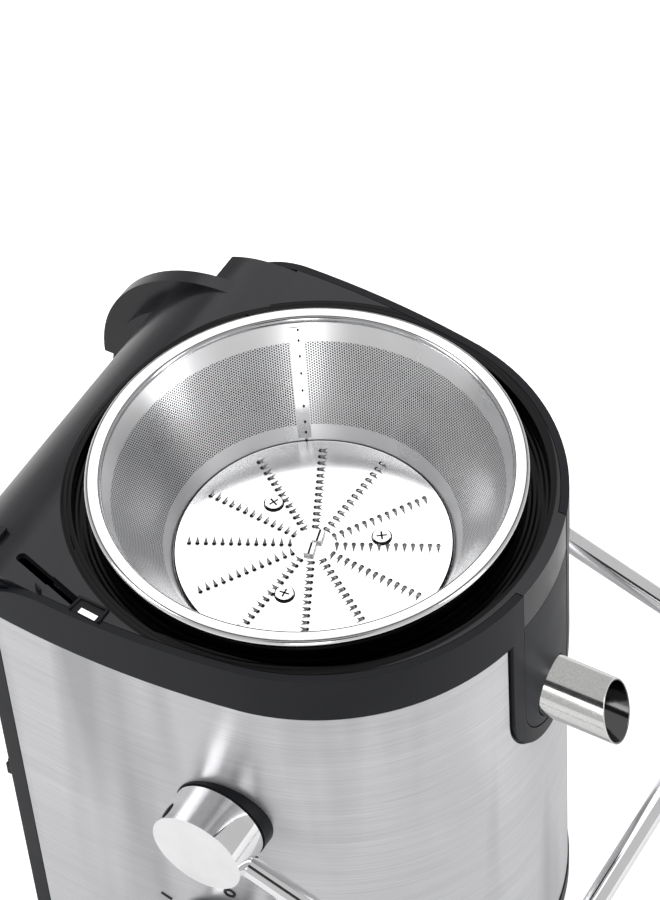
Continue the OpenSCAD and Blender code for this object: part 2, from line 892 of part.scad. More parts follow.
module motor_shaft() color([0.7, 0.7, 0.72])
    translate([0, 0, fan_z - 4])
        cylinder(h = coupling_z + 10 - fan_z + 4, r = shaft_d / 2);

module armature() color([0.5, 0.5, 0.52]) {
    tube_z(shaft_d / 2, armature_r, stator_z, stator_top);
    tube_z(shaft_d / 2, armature_r - 6, stator_z - 8, stator_z);
    tube_z(shaft_d / 2, armature_r - 6, stator_top, stator_top + 8);
}

module commutator() color([0.75, 0.42, 0.2])
    tube_z(shaft_d / 2, comm_r, comm_z, comm_z + comm_h);

module cooling_fan() color([0.15, 0.15, 0.16]) {
    tube_z(shaft_d / 2, 9, fan_z, fan_z + fan_h);
    tube_z(8.9, fan_r, fan_z + fan_h - 2, fan_z + fan_h);
    for (i = [0:8])
        rotate([0, 0, i * 40])
            translate([8.5, -1, fan_z])
                cube([fan_r - 8.7, 2, fan_h - 1.9]);
}

module drive_coupling() color([0.12, 0.12, 0.13]) {
    difference() {
        union() {
            translate([0, 0, coupling_z])
                cylinder(h = 14, r = tube_r - 3);
            translate([0, 0, coupling_z])
                cylinder(h = coupling_top - coupling_z, r = 7);
            for (i = [0:5])
                rotate([0, 0, i * 60])
                    translate([0, -1.5, coupling_z])
                        cube([9, 3, coupling_top - coupling_z]);
        }
        translate([0, 0, coupling_z - 1])
            cylinder(h = 11, r = shaft_d / 2);
    }
}

// ---- basket ----

module basket_rim() color([0.9, 0.9, 0.9])
    rotate_extrude($fn = 180)
        union() {
            translate([cone_top_r + bead_t / 2, rim_h - bead_t])
                square([bead_w - bead_t, bead_t]);
            for (r = [cone_top_r + bead_t / 2, rim_r - bead_t / 2])
                translate([r, rim_h - bead_t / 2])
                    circle(bead_t / 2, $fn = 32);
        }

// The cone runs from the edge of the disc up to the underside of the rim
module basket_cone() color([0.7, 0.7, 0.71])
    rotate_extrude($fn = 180)
        polygon([
            [cone_low_r, plate_z - 0.2], [cone_low_r + cone_wall, plate_z - 0.2],
            [cone_high_r + cone_wall, rim_h - bead_t], [cone_high_r, rim_h - bead_t]
        ]);

module mesh_seam() color([0.85, 0.85, 0.86]) {
    rise = rim_h - bead_t - plate_z + 0.2;
    run = cone_high_r - cone_low_r;
    rotate([0, 0, seam_angle])
        translate([cone_low_r, 0, plate_z - 0.2])
            rotate([0, atan2(run, rise), 0])
                translate([-0.65, -seam_w / 2, 2])
                    cube([0.4, seam_w, sqrt(run * run + rise * rise) - 4]);
}

module basket_floor() color([0.75, 0.75, 0.76])
    difference() {
        translate([0, 0, plate_z - 1.2])
            cylinder(h = 1, r = disc_r + 1.6);
        translate([0, 0, plate_z - 3])
            cylinder(h = 6, r = hub_bore_r);
        for (i = [0:2])
            rotate([0, 0, screw_turn + 120 * i])
                translate([screw_circle_r, 0, plate_z - 3])
                    cylinder(h = 6, r = screw_r);
    }

module grating_disc() color([0.88, 0.88, 0.89])
    difference() {
        translate([0, 0, plate_z - 0.2])
            cylinder(h = mesh_t + 0.2, r = disc_r);
        for (i = [0:2])
            rotate([0, 0, screw_turn + 120 * i])
                translate([screw_circle_r, 0, plate_z - 3])
                    cylinder(h = 6, r = screw_r);
    }

module grater_teeth() color([0.9, 0.9, 0.9]) {
    pitch = (disc_r - 5 - tooth_in) / (teeth_in_row - 1);
    for (i = [0:tooth_rows - 1])
        rotate([0, 0, tooth_turn + i * 360 / tooth_rows])
            for (k = [0:teeth_in_row - 1])
                translate([tooth_in + k * pitch, 0, disc_z])
                    rotate([0, -90, 90])
                        linear_extrude(0.5)
                            polygon([[0, -0.8], [0, 0.8], [tooth_h, 0]]);
}

module centre_cutters() color([0.9, 0.9, 0.9]) {
    for (s = [-1, 1])
        rotate([0, 0, 60 + (s > 0 ? 0 : 180)])
            translate([3, -3, disc_z])
                difference() {
                    cube([0.8, 6, 4]);
                    translate([-1, 4, 2.4])
                        rotate([45, 0, 0])
                            cube([3, 6, 4]);
                }
}

module coupling_hub() color([0.15, 0.15, 0.16]) {
    hub_top = plate_z - 1.2;
    difference() {
        union() {
            translate([0, 0, hub_top - 4])
                cylinder(h = 4, r = screw_circle_r + 6);
            tube_z(tube_r + bowl_t + 2, tube_r + bowl_t + 4, tube_top - 8, hub_top - 3);
            translate([0, 0, coupling_z + 14 + 1])
                cylinder(h = hub_top - coupling_z - 15 - 3, r = tube_r - 2);
        }
        // socket over the coupling's six ribs
        translate([0, 0, coupling_z + 10])
            cylinder(h = coupling_top - coupling_z - 10 + gap, r = 7 + gap);
        for (i = [0:5])
            rotate([0, 0, i * 60])
                translate([0, -1.5 - gap, coupling_z + 10])
                    cube([9 + gap, 3 + 2 * gap, coupling_top - coupling_z - 10 + gap]);
        for (i = [0:2])
            rotate([0, 0, screw_turn + 120 * i])
                translate([screw_circle_r, 0, hub_top - 9])
                    cylinder(h = 20, r = screw_r);
    }
}

module disc_screws() color([0.85, 0.85, 0.86]) {
    for (i = [0:2])
        rotate([0, 0, screw_turn + 120 * i])
            translate([screw_circle_r, 0, disc_z]) {
                translate([0, 0, -6])
                    cylinder(h = 6, r = screw_r - fit);
                difference() {
                    cylinder(h = 1.1, r = 3.65);
                    for (a = [0, 90])
                        rotate([0, 0, a])
                            translate([-2.2, -0.4, 0.5])
                                cube([4.4, 0.8, 2]);
                }
            }
}

// ---- bail ----

// Places the bail's flat shape: X runs along the legs, from the pivot to the cross-piece
module in_bail_plane() {
    translate([pivot_x, 0, pivot_z])
        rotate([0, bail_drop, 0])
            children();
}

module bail_rod() color([0.9, 0.9, 0.9])
    in_bail_plane() {
        for (s = [-1, 1]) {
            translate([hub_d / 2 - 6, s * leg_y, 0])
                rotate([0, 90, 0])
                    cylinder(h = reach - bend_r - hub_d / 2 + 6, r = rod_r);
            translate([reach - bend_r, s * (leg_y - bend_r), 0])
                rotate([0, 0, s > 0 ? 0 : -90])
                    rotate_extrude(angle = 90)
                        translate([bend_r, 0])
                            circle(rod_r, $fn = 48);
        }
        translate([reach, leg_y - bend_r, 0])
            rotate([90, 0, 0])
                cylinder(h = 2 * (leg_y - bend_r), r = rod_r);
    }

module hub_cap(s) {
    difference() {
        rod_y(pivot_x, pivot_z, hub_d / 2, s > 0 ? hub_y : -hub_y - hub_l, s > 0 ? hub_y + hub_l : -hub_y);
        // socket for the rod and bore for the pin
        in_bail_plane()
            translate([hub_d / 2 - 6, s * leg_y, 0])
                rotate([0, 90, 0])
                    cylinder(h = big / 4, r = rod_r);
        rod_y(pivot_x, pivot_z, pin_d / 2, s > 0 ? hub_y - 5 : -hub_y - pin_in, s > 0 ? hub_y + pin_in : -hub_y + 5);
    }
}

module front_hub() color([0.88, 0.88, 0.89])
    hub_cap(-1);

module rear_hub() color([0.88, 0.88, 0.89])
    hub_cap(1);

module pivot_pins() color([0.6, 0.6, 0.62]) {
    rod_y(pivot_x, pivot_z, pin_d / 2, pin_end, hub_y + pin_in);
    rod_y(pivot_x, pivot_z, pin_d / 2, -hub_y - pin_in, -pin_end);
}

module safety_cam() color([0.85, 0.85, 0.82]) {
    y0 = -boss_y + gap;
    difference() {
        union() {
            rod_y(pivot_x, pivot_z, cam_top, y0, y0 + cam_l);
            // lobe that comes up to the switch as the bail is raised
            translate([pivot_x, y0, pivot_z])
                rotate([0, 145, 0])
                    translate([0, 0, -3])
                        cube([cam_reach, cam_l, 6]);
        }
        rod_y(pivot_x, pivot_z, pin_d / 2, -big / 2, big / 2);
    }
}

// ---- dial ----

module speed_knob() color([0.86, 0.86, 0.87]) {
    difference() {
        rod_y(dial_x, dial_h, dial_d / 2, -knob_y - knob_l, -knob_y);
        rod_y(dial_x, dial_h, knob_shaft_r, -knob_y - 12, -knob_y + 5);
        // pointer groove
        translate([dial_x - 0.8, -knob_y - knob_l - 1, dial_h + dial_d / 2 - 13])
            cube([1.6, 2, 10]);
    }
}

module knob_shaft() color([0.7, 0.7, 0.72])
    rod_y(dial_x, dial_h, knob_shaft_r, -knob_y - 12, dial_seat_y + 12);

main_shell();
steel_wrap();
top_collar();
left_cover();
base_plate();
foot_ring();
base_screws();
cord_gland();
motor_deck();
rubber_mounts();
deck_screws();
motor_stator();
field_coils();
upper_bracket();
lower_bracket();
bearings();
brush_holders();
carbon_brushes();
motor_screws();
speed_switch();
safety_switch();
pivot_rings();
dial_bezel();
dial_marks();
juice_bowl();
spout_plate();
spout_tube();
spout_seal();
shaft_seal();
motor_shaft();
armature();
commutator();
cooling_fan();
drive_coupling();
basket_rim();
basket_cone();
mesh_seam();
basket_floor();
grating_disc();
grater_teeth();
centre_cutters();
coupling_hub();
disc_screws();
bail_rod();
front_hub();
rear_hub();
pivot_pins();
safety_cam();
speed_knob();
knob_shaft();
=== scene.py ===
import math

import bpy
from mathutils import Matrix, Vector


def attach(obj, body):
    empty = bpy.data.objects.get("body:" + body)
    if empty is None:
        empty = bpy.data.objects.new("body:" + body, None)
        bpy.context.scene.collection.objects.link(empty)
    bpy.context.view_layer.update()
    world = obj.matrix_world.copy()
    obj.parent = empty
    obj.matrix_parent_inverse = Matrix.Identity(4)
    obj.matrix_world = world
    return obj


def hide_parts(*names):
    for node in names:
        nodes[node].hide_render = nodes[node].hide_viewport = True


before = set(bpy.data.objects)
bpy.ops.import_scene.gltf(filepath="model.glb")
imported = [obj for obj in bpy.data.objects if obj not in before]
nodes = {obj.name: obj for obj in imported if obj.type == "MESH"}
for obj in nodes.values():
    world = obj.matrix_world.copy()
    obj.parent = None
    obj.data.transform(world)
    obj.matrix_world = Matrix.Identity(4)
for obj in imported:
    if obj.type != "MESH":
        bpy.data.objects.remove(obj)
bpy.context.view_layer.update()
mm = 0.001


# camera
camera = {
    "azimuth": 33.89, "elevation": 48.44, "roll": -4.73,  # degrees
    "distance": 1.40676, "right": 0.00949, "up": 0.00701, "aimHeight": 0.275,
    "lens": 140.0, "sensor": 36.0, "clipEnd": 20,
}


def placeCamera(values):
    a, e, r = (math.radians(values[k]) for k in ("azimuth", "elevation", "roll"))
    back = Vector((math.sin(a) * math.cos(e), -math.cos(a) * math.cos(e), math.sin(e)))
    flat = Vector((math.cos(a), math.sin(a), 0))
    level = back.cross(flat)
    right = flat * math.cos(r) + level * math.sin(r)
    up = level * math.cos(r) - flat * math.sin(r)
    bpy.ops.object.camera_add()
    eye = bpy.context.object
    eye.name = "studioCamera"
    eye.data.lens = values["lens"]
    eye.data.sensor_width = values["sensor"]
    eye.data.clip_end = values["clipEnd"]
    spot = back * values["distance"] + right * values["right"] + up * values["up"]
    spot.z += values["aimHeight"]
    turn = Matrix((right, up, back)).transposed().to_4x4()
    eye.matrix_world = Matrix.Translation(spot) @ turn
    bpy.context.scene.camera = eye


placeCamera(camera)
print("camera placed")


# node helpers for the materials
def addNode(material, kind, **values):
    node = material.node_tree.nodes.new(kind)
    for key, value in values.items():
        setattr(node, key, value)
    return node


def wire(material, source, target):
    material.node_tree.links.new(source, target)


def calc(material, operation, first, second=None, third=None):
    node = addNode(material, "ShaderNodeMath", operation=operation)
    for slot, value in zip(node.inputs, (first, second, third)):
        if value is None:
            continue
        if isinstance(value, (int, float)):
            slot.default_value = value
        else:
            wire(material, value, slot)
    return node.outputs[0]


def objectPoint(material, stretch=(1, 1, 1), turn=0.0):
    where = addNode(material, "ShaderNodeTexCoord")
    mapping = addNode(material, "ShaderNodeMapping")
    mapping.inputs["Scale"].default_value = stretch
    mapping.inputs["Rotation"].default_value = (0, 0, math.radians(turn))
    wire(material, where.outputs["Object"], mapping.inputs["Vector"])
    return mapping.outputs["Vector"]


def noise(material, point, scale, detail=3.0, roughness=0.5):
    node = addNode(material, "ShaderNodeTexNoise")
    node.inputs["Scale"].default_value = scale
    node.inputs["Detail"].default_value = detail
    node.inputs["Roughness"].default_value = roughness
    wire(material, point, node.inputs["Vector"])
    return node.outputs["Fac"]


def spread(material, value, low, high, fromLow=0.3, fromHigh=0.7):
    node = addNode(material, "ShaderNodeMapRange")
    for slot, number in zip(node.inputs[1:5], (fromLow, fromHigh, low, high)):
        slot.default_value = number
    wire(material, value, node.inputs[0])
    return node.outputs[0]


def shade(material, value, dark, light, start=0.25, end=0.75):
    node = addNode(material, "ShaderNodeValToRGB")
    for element, position, tone in zip(node.color_ramp.elements, (start, end), (dark, light)):
        element.position = position
        element.color = (*tone, 1)
    wire(material, value, node.inputs["Fac"])
    return node.outputs["Color"]


def blend(material, factor, first, second, kind="MIX"):  # each one a socket or a value
    node = addNode(material, "ShaderNodeMix", data_type="RGBA", blend_type=kind)
    slots = (node.inputs["Factor"], node.inputs[6], node.inputs[7])
    for slot, value in zip(slots, (factor, first, second)):
        if isinstance(value, (int, float, tuple)):
            slot.default_value = value
        else:
            wire(material, value, slot)
    return node.outputs[2]


def flatLength(material, x, y):
    squares = calc(material, "MULTIPLY_ADD", x, x, calc(material, "MULTIPLY", y, y))
    return calc(material, "SQRT", squares)


def axisRadius(material):  # distance from the upright axis of the basket
    split = addNode(material, "ShaderNodeSeparateXYZ")
    wire(material, objectPoint(material), split.inputs[0])
    return flatLength(material, split.outputs[0], split.outputs[1])


def bump(material, shader, height, strength, distance):
    node = addNode(material, "ShaderNodeBump")
    node.inputs["Strength"].default_value = strength
    node.inputs["Distance"].default_value = distance
    wire(material, height, node.inputs["Height"])
    wire(material, node.outputs["Normal"], shader.inputs["Normal"])


def newMaterial(name, metallic, **sockets):
    material = bpy.data.materials.new(name)
    material.use_nodes = True
    shader = material.node_tree.nodes["Principled BSDF"]
    shader.inputs["Metallic"].default_value = metallic
    for key, value in sockets.items():
        shader.inputs[key.replace("_", " ")].default_value = value
    return material, shader


# materials
plasticFinish = {
    # dark and light tone, roughness range, grain size per metre, grain depth, reflectance
    "satinBlack": ((0.007, 0.0075, 0.01), (0.013, 0.0135, 0.017), (0.34, 0.44), 2600, 0.00003, 0.13),
    # painted sheen: the spout plate's satin black, painted lighter
    "plateSheenBlack": ((0.013, 0.014, 0.017), (0.028, 0.029, 0.033), (0.40, 0.50), 1500, 0.00006, 0.12),
    "innerPlastic": ((0.10, 0.10, 0.105), (0.16, 0.16, 0.17), (0.45, 0.6), 1500, 0.00003, 0.4),
    "rubberBlack": ((0.006, 0.006, 0.006), (0.016, 0.016, 0.016), (0.6, 0.8), 1200, 0.00005, 0.25),
    "printBlack": ((0.01, 0.01, 0.01), (0.02, 0.02, 0.02), (0.5, 0.6), 3000, 0.00001, 0.3),
    "carbonBlack": ((0.02, 0.02, 0.02), (0.06, 0.06, 0.06), (0.6, 0.75), 2500, 0.00004, 0.3),
}
metalFinish = {
    # dark and light tone, roughness range, grain size, stretch of the grain, grain depth
    "polishedChrome": ((0.80, 0.80, 0.81), (0.90, 0.90, 0.91), (0.03, 0.07), 60, (1, 1, 1), 0.0),
    "pressedSteel": ((0.72, 0.72, 0.73), (0.80, 0.80, 0.81), (0.10, 0.14), 40, (1, 1, 1), 0.0),
    # painted shade: the teeth are the disc's steel, painted darker
    "toothShadeSteel": ((0.20, 0.20, 0.21), (0.42, 0.42, 0.43), (0.20, 0.30), 600, (1, 1, 1), 0.0),
    "discSteel": ((0.86, 0.86, 0.87), (0.92, 0.92, 0.93), (0.10, 0.14), 30, (1, 1, 1), 0.0),
    "bearingSteel": ((0.5, 0.5, 0.52), (0.68, 0.68, 0.70), (0.2, 0.35), 300, (1, 1, 8), 0.00001),
    "coreSteel": ((0.16, 0.16, 0.17), (0.34, 0.34, 0.36), (0.4, 0.6), 900, (1, 1, 12), 0.00004),
    "castAluminium": ((0.5, 0.5, 0.52), (0.7, 0.7, 0.72), (0.35, 0.5), 700, (1, 1, 1), 0.00005),
    "copperWire": ((0.45, 0.20, 0.09), (0.78, 0.42, 0.22), (0.25, 0.4), 1400, (1, 1, 6), 0.00006),
}
cloud = {"scale": 35, "detail": 2}  # broad unevenness of all the plastics
grainStrength = {"plastic": 0.35, "metal": 0.3}
metalDetail = 4
finishes = {}


def makePlastic(name, values):
    dark, light, rough, grain, depth, gloss = values
    material, shader = newMaterial(name, 0.0, Specular_IOR_Level=gloss)
    point = objectPoint(material)
    broad = noise(material, point, cloud["scale"], cloud["detail"])
    fine = noise(material, point, grain, cloud["detail"])
    wire(material, shade(material, broad, dark, light), shader.inputs["Base Color"])
    wire(material, spread(material, broad, *rough), shader.inputs["Roughness"])
    bump(material, shader, fine, grainStrength["plastic"], depth)
    finishes[name] = material


def makeMetal(name, values):
    dark, light, rough, grain, stretch, depth = values
    material, shader = newMaterial(name, 1.0)
    point = objectPoint(material, stretch)
    tone = noise(material, point, grain, metalDetail)
    wire(material, shade(material, tone, dark, light), shader.inputs["Base Color"])
    wire(material, spread(material, tone, *rough), shader.inputs["Roughness"])
    if depth:
        bump(material, shader, tone, grainStrength["metal"], depth)
    finishes[name] = material


deck = {
    "dark": (0.010, 0.010, 0.013), "light": (0.017, 0.017, 0.021),
    "rough": (0.18, 0.28), "gloss": 0.26,
    "wellEdge": 100.5 * mm, "wellShadeTone": 0.12, "wellShadeGloss": 0.10,  # painted shade: darker and less glossy inside this radius
    "ridges": 2.0 * mm, "ridgeStrength": 0.5, "depth": 0.0005,
}


def makeDeckBlack(values):  # black plastic with painted shade darkening the well round the basket, and fine steps there
    material, shader = newMaterial("deckBlack", 0.0)
    broad = noise(material, objectPoint(material), cloud["scale"], cloud["detail"])
    radius = axisRadius(material)
    near = calc(material, "LESS_THAN", radius, values["wellEdge"])
    tone = shade(material, broad, values["dark"], values["light"])
    # painted shade: the well's colour and gloss are turned down inside the radius
    wellShade = spread(material, near, 1.0, values["wellShadeTone"], 0.0, 1.0)
    gloss = spread(material, near, values["gloss"], values["wellShadeGloss"], 0.0, 1.0)
    wire(material, blend(material, 1.0, tone, wellShade, "MULTIPLY"), shader.inputs["Base Color"])
    wire(material, spread(material, broad, *values["rough"]), shader.inputs["Roughness"])
    wire(material, gloss, shader.inputs["Specular IOR Level"])
    ridge = calc(material, "PINGPONG", calc(material, "DIVIDE", radius, values["ridges"]), 0.5)
    steps = calc(material, "MULTIPLY", ridge, near)
    bump(material, shader, steps, values["ridgeStrength"], values["depth"])
    finishes["deckBlack"] = material


makeDeckBlack(deck)
for finishName, finishValues in plasticFinish.items():
    makePlastic(finishName, finishValues)
for finishName, finishValues in metalFinish.items():
    makeMetal(finishName, finishValues)

brushing = {
    "dark": (0.46, 0.46, 0.475), "light": (0.82, 0.82, 0.835), "rough": (0.30, 0.42),
    "anisotropy": 0.8, "quarterTurn": 0.25,  # highlights stretch across the lines
    # stretch of each pattern along x, y and z, then scale, detail and roughness of its noise
    "lines": ((9, 9, 1500), 2.2, 5, 0.7),
    "bands": ((3, 3, 60), 2.0, 3, 0.5), "bandShare": 0.15,
    "reflectionSmears": ((30, 30, 3), 1.0, 2, 0.5), "reflectionSmear": 0.70, "reflectionSmearRange": (0.36, 0.56),
    "strength": 0.25, "depth": 0.00002,
}


def stretched(material, stretch, scale, detail, roughness):
    return noise(material, objectPoint(material, stretch), scale, detail, roughness)


def makeBrushedWrap(values):  # long fine lines that run round the body, and upright smears of painted reflection that darken the colour
    material, shader = newMaterial("brushedWrap", 1.0, Anisotropic=values["anisotropy"],
                                   Anisotropic_Rotation=values["quarterTurn"])
    fine = stretched(material, *values["lines"])
    bands = calc(material, "MULTIPLY", stretched(material, *values["bands"]), values["bandShare"])
    both = calc(material, "MULTIPLY_ADD", fine, 1 - values["bandShare"], bands)
    # painted reflection: upright smears darken the steel's colour
    upright = stretched(material, *values["reflectionSmears"])
    reflectionSmear = spread(material, upright, values["reflectionSmear"], 1.0, *values["reflectionSmearRange"])
    tone = shade(material, both, values["dark"], values["light"])
    wire(material, blend(material, 1.0, tone, reflectionSmear, "MULTIPLY"), shader.inputs["Base Color"])
    wire(material, spread(material, both, *values["rough"]), shader.inputs["Roughness"])
    tangent = addNode(material, "ShaderNodeTangent", direction_type="RADIAL", axis="Z")
    wire(material, tangent.outputs["Tangent"], shader.inputs["Tangent"])
    bump(material, shader, fine, values["strength"], values["depth"])
    finishes["brushedWrap"] = material


makeBrushedWrap(brushing)

sieve = {
    "seamAngle": 124.0, "pitch": 1.16 * mm, "hole": 0.33,  # hole radius as a share of the pitch
    "rowStep": 0.866, "rowShift": 0.5,  # of a pitch: rows lie closer than columns and take turns
    "lowRadius": 57.9 * mm, "lowZ": 225.4 * mm, "highRadius": 84.4 * mm, "highZ": 271.0 * mm,
    "from": 0.15, "to": 0.84,  # shares of the height that the holes lie between
    "dark": (0.84, 0.84, 0.85), "light": (0.94, 0.94, 0.95), "holeShadeTone": (0.012, 0.012, 0.013, 1),
    "tone": (30, 2), "rough": (0.26, 0.34), "strength": 0.4, "depth": 0.0003,
}


def makeSieve(values):  # rows of holes laid out on the unrolled cone, each filled with painted shade
    material, shader = newMaterial("sieveSteel", 1.0)
    rise = values["highZ"] - values["lowZ"]
    slope = (values["highRadius"] - values["lowRadius"]) / rise
    lean = math.atan(slope)
    tipZ = values["lowZ"] - values["lowRadius"] / slope
    split = addNode(material, "ShaderNodeSeparateXYZ")
    wire(material, objectPoint(material, turn=180 - values["seamAngle"]), split.inputs[0])
    x, y, z = split.outputs
    away = calc(material, "DIVIDE", calc(material, "SUBTRACT", z, tipZ), math.cos(lean))
    swing = calc(material, "MULTIPLY", calc(material, "ARCTAN2", y, x), math.sin(lean))
    across = calc(material, "MULTIPLY", away, calc(material, "SINE", swing))
    along = calc(material, "MULTIPLY", away, calc(material, "COSINE", swing))
    rowCount = calc(material, "DIVIDE", along, values["pitch"] * values["rowStep"])
    oddRow = calc(material, "PINGPONG", calc(material, "FLOOR", rowCount), 1.0)
    shift = calc(material, "MULTIPLY", oddRow, values["rowShift"])
    column = calc(material, "ADD", calc(material, "DIVIDE", across, values["pitch"]), shift)
    dx = calc(material, "SUBTRACT", calc(material, "FRACT", column), 0.5)
    rowPart = calc(material, "SUBTRACT", calc(material, "FRACT", rowCount), 0.5)
    dy = calc(material, "MULTIPLY", rowPart, values["rowStep"])
    hole = calc(material, "LESS_THAN", flatLength(material, dx, dy), values["hole"])
    above = calc(material, "GREATER_THAN", z, values["lowZ"] + rise * values["from"])
    below = calc(material, "LESS_THAN", z, values["lowZ"] + rise * values["to"])
    mask = calc(material, "MULTIPLY", hole, calc(material, "MULTIPLY", above, below))
    solid = calc(material, "SUBTRACT", 1.0, mask)
    tone = noise(material, objectPoint(material), *values["tone"])
    steel = shade(material, tone, values["dark"], values["light"])
    # painted shade: each hole is near black and not metallic
    wire(material, blend(material, mask, steel, values["holeShadeTone"]), shader.inputs["Base Color"])
    wire(material, solid, shader.inputs["Metallic"])
    wire(material, spread(material, tone, *values["rough"]), shader.inputs["Roughness"])
    bump(material, shader, solid, values["strength"], values["depth"])
    finishes["sieveSteel"] = material


makeSieve(sieve)

spout = {
    "start": (100.3 * mm, 10 * mm, 185 * mm), "axis": (0.95556, 0.16849, -0.24192),
    "wall": 12.55 * mm,  # radius of the middle of the wall
    "insideShade": (0.13, 0.13, 0.13, 1), "dark": (0.64, 0.64, 0.63), "light": (0.76, 0.76, 0.75),
    "tone": (900, 3), "rough": (0.11, 0.15),  # tone: scale and detail of the noise
}


def makeSpoutSteel(values):  # polished outside, with painted shade darkening the inside
    material, shader = newMaterial("spoutSteel", 1.0)
    away = addNode(material, "ShaderNodeVectorMath", operation="SUBTRACT")
    across = addNode(material, "ShaderNodeVectorMath", operation="CROSS_PRODUCT")
    length = addNode(material, "ShaderNodeVectorMath", operation="LENGTH")
    away.inputs[1].default_value = values["start"]
    across.inputs[1].default_value = values["axis"]
    wire(material, objectPoint(material), away.inputs[0])
    wire(material, away.outputs[0], across.inputs[0])
    wire(material, across.outputs[0], length.inputs[0])
    insideShade = calc(material, "LESS_THAN", length.outputs["Value"], values["wall"])
    tone = noise(material, objectPoint(material), *values["tone"])
    steel = shade(material, tone, values["dark"], values["light"])
    # painted shade: dark grey on the tube's inner wall
    wire(material, blend(material, insideShade, steel, values["insideShade"]), shader.inputs["Base Color"])
    wire(material, spread(material, tone, *values["rough"]), shader.inputs["Roughness"])
    finishes["spoutSteel"] = material


makeSpoutSteel(spout)

turning = {
    "lines": 1000, "dark": (0.34, 0.34, 0.35), "light": (0.94, 0.94, 0.95), "rough": (0.08, 0.16),
}


def makeTurnedSteel(values):  # fine concentric lines round the upright axis
    material, shader = newMaterial("turnedSteel", 1.0)
    radius = axisRadius(material)
    lines = addNode(material, "ShaderNodeTexNoise", noise_dimensions="1D")
    lines.inputs["Scale"].default_value = values["lines"]
    wire(material, radius, lines.inputs["W"])
    tone = lines.outputs["Fac"]
    steel = shade(material, tone, values["dark"], values["light"])
    wire(material, steel, shader.inputs["Base Color"])
    wire(material, spread(material, tone, *values["rough"]), shader.inputs["Roughness"])
    finishes["turnedSteel"] = material


makeTurnedSteel(turning)
print("materials made:", len(finishes))

nodeFinish = {
    "satinBlack": ["main_shell", "top_collar", "left_cover", "base_plate", "cord_gland"],
    "plateSheenBlack": ["spout_plate"],
    "deckBlack": ["juice_bowl"],
    "innerPlastic": ["speed_switch", "safety_switch", "cooling_fan", "drive_coupling",
                     "coupling_hub", "safety_cam"],
    "brushedWrap": ["steel_wrap"],
    "polishedChrome": ["bail_rod", "front_hub", "rear_hub", "speed_knob"],
    "turnedSteel": ["basket_rim"],
    "pressedSteel": ["grater_teeth", "centre_cutters", "disc_screws", "mesh_seam", "basket_floor"],
    "discSteel": ["grating_disc"],
    "spoutSteel": ["spout_tube"],
    "sieveSteel": ["basket_cone"],
    "rubberBlack": ["foot_ring", "rubber_mounts", "spout_seal", "shaft_seal", "pivot_rings",
                    "dial_bezel"],
    "printBlack": ["dial_marks"],
    "bearingSteel": ["bearings", "motor_shaft", "knob_shaft", "pivot_pins", "base_screws",
                     "deck_screws", "motor_screws"],
    "coreSteel": ["motor_stator", "armature"],
    "castAluminium": ["upper_bracket", "lower_bracket", "motor_deck"],
    "copperWire": ["field_coils", "commutator", "brush_holders"],
    "carbonBlack": ["carbon_brushes"],
}


def paint(piece, finish):
    piece.data.materials.clear()
    piece.data.materials.append(finishes[finish])


for finishName, members in nodeFinish.items():
    for member in members:
        paint(nodes[member], finishName)


# modelling helpers
merging = {"distance": 0.000002, "flatAngle": 0.6}  # joins loose corners and flat neighbours
blockRounding = {"segments": 4, "smoothAngle": 50}


def selectOnly(piece):
    bpy.ops.object.select_all(action="DESELECT")
    piece.select_set(True)
    bpy.context.view_layer.objects.active = piece


def applyAll(piece):
    selectOnly(piece)
    for modifier in list(piece.modifiers):
        bpy.ops.object.modifier_apply(modifier=modifier.name)


def smooth(piece, angle=35):
    selectOnly(piece)
    bpy.ops.object.shade_smooth_by_angle(angle=math.radians(angle))


def softenEdges(piece, width, segments=2, angle=32):
    edge = piece.modifiers.new("edges", "BEVEL")
    edge.width = width
    edge.segments = segments
    edge.limit_method = "ANGLE"
    edge.angle_limit = math.radians(angle)
    edge.use_clamp_overlap = True
    edge.miter_outer = "MITER_ARC"
    applyAll(piece)
    smooth(piece)
    flat = piece.modifiers.new("flats", "WEIGHTED_NORMAL")
    flat.keep_sharp = True
    applyAll(piece)


def mergedCopy(node, name):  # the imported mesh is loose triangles, so its copy is merged
    bpy.ops.object.select_all(action="DESELECT")
    piece = bpy.data.objects.new(name, nodes[node].data.copy())
    bpy.context.scene.collection.objects.link(piece)
    selectOnly(piece)
    bpy.ops.object.mode_set(mode="EDIT")
    bpy.ops.mesh.select_all(action="SELECT")
    bpy.ops.mesh.remove_doubles(threshold=merging["distance"])
    bpy.ops.mesh.dissolve_limited(angle_limit=math.radians(merging["flatAngle"]))
    bpy.ops.object.mode_set(mode="OBJECT")
    return piece


def addBlock(name, at, size, angle=0.0, edge=0.0):  # in millimetres and degrees
    bpy.ops.mesh.primitive_cube_add(size=1, location=[v * mm for v in at])
    block = bpy.context.object
    block.name = name
    block.scale = [v * mm for v in size]
    block.rotation_euler.z = math.radians(angle)
    selectOnly(block)
    bpy.ops.object.transform_apply(location=True, rotation=True, scale=True)
    if edge:
        rounding = block.modifiers.new("rounding", "BEVEL")
        rounding.width = edge * mm
        rounding.segments = blockRounding["segments"]
        applyAll(block)
        smooth(block, blockRounding["smoothAngle"])
    return block


def carve(piece, values):
    cutter = addBlock("cutter", *values)
    cut = piece.modifiers.new("groove", "BOOLEAN")
    cut.operation = "DIFFERENCE"
    cut.object = cutter
    applyAll(piece)
    bpy.data.objects.remove(cutter)


def settle(piece, body, slot, finish, *replaced):  # hands a finished piece to its body
    selectOnly(piece)
    bpy.ops.object.transform_apply(location=True, rotation=True, scale=True)
    paint(piece, finish)
    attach(piece, body)
    if replaced:
        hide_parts(*replaced)


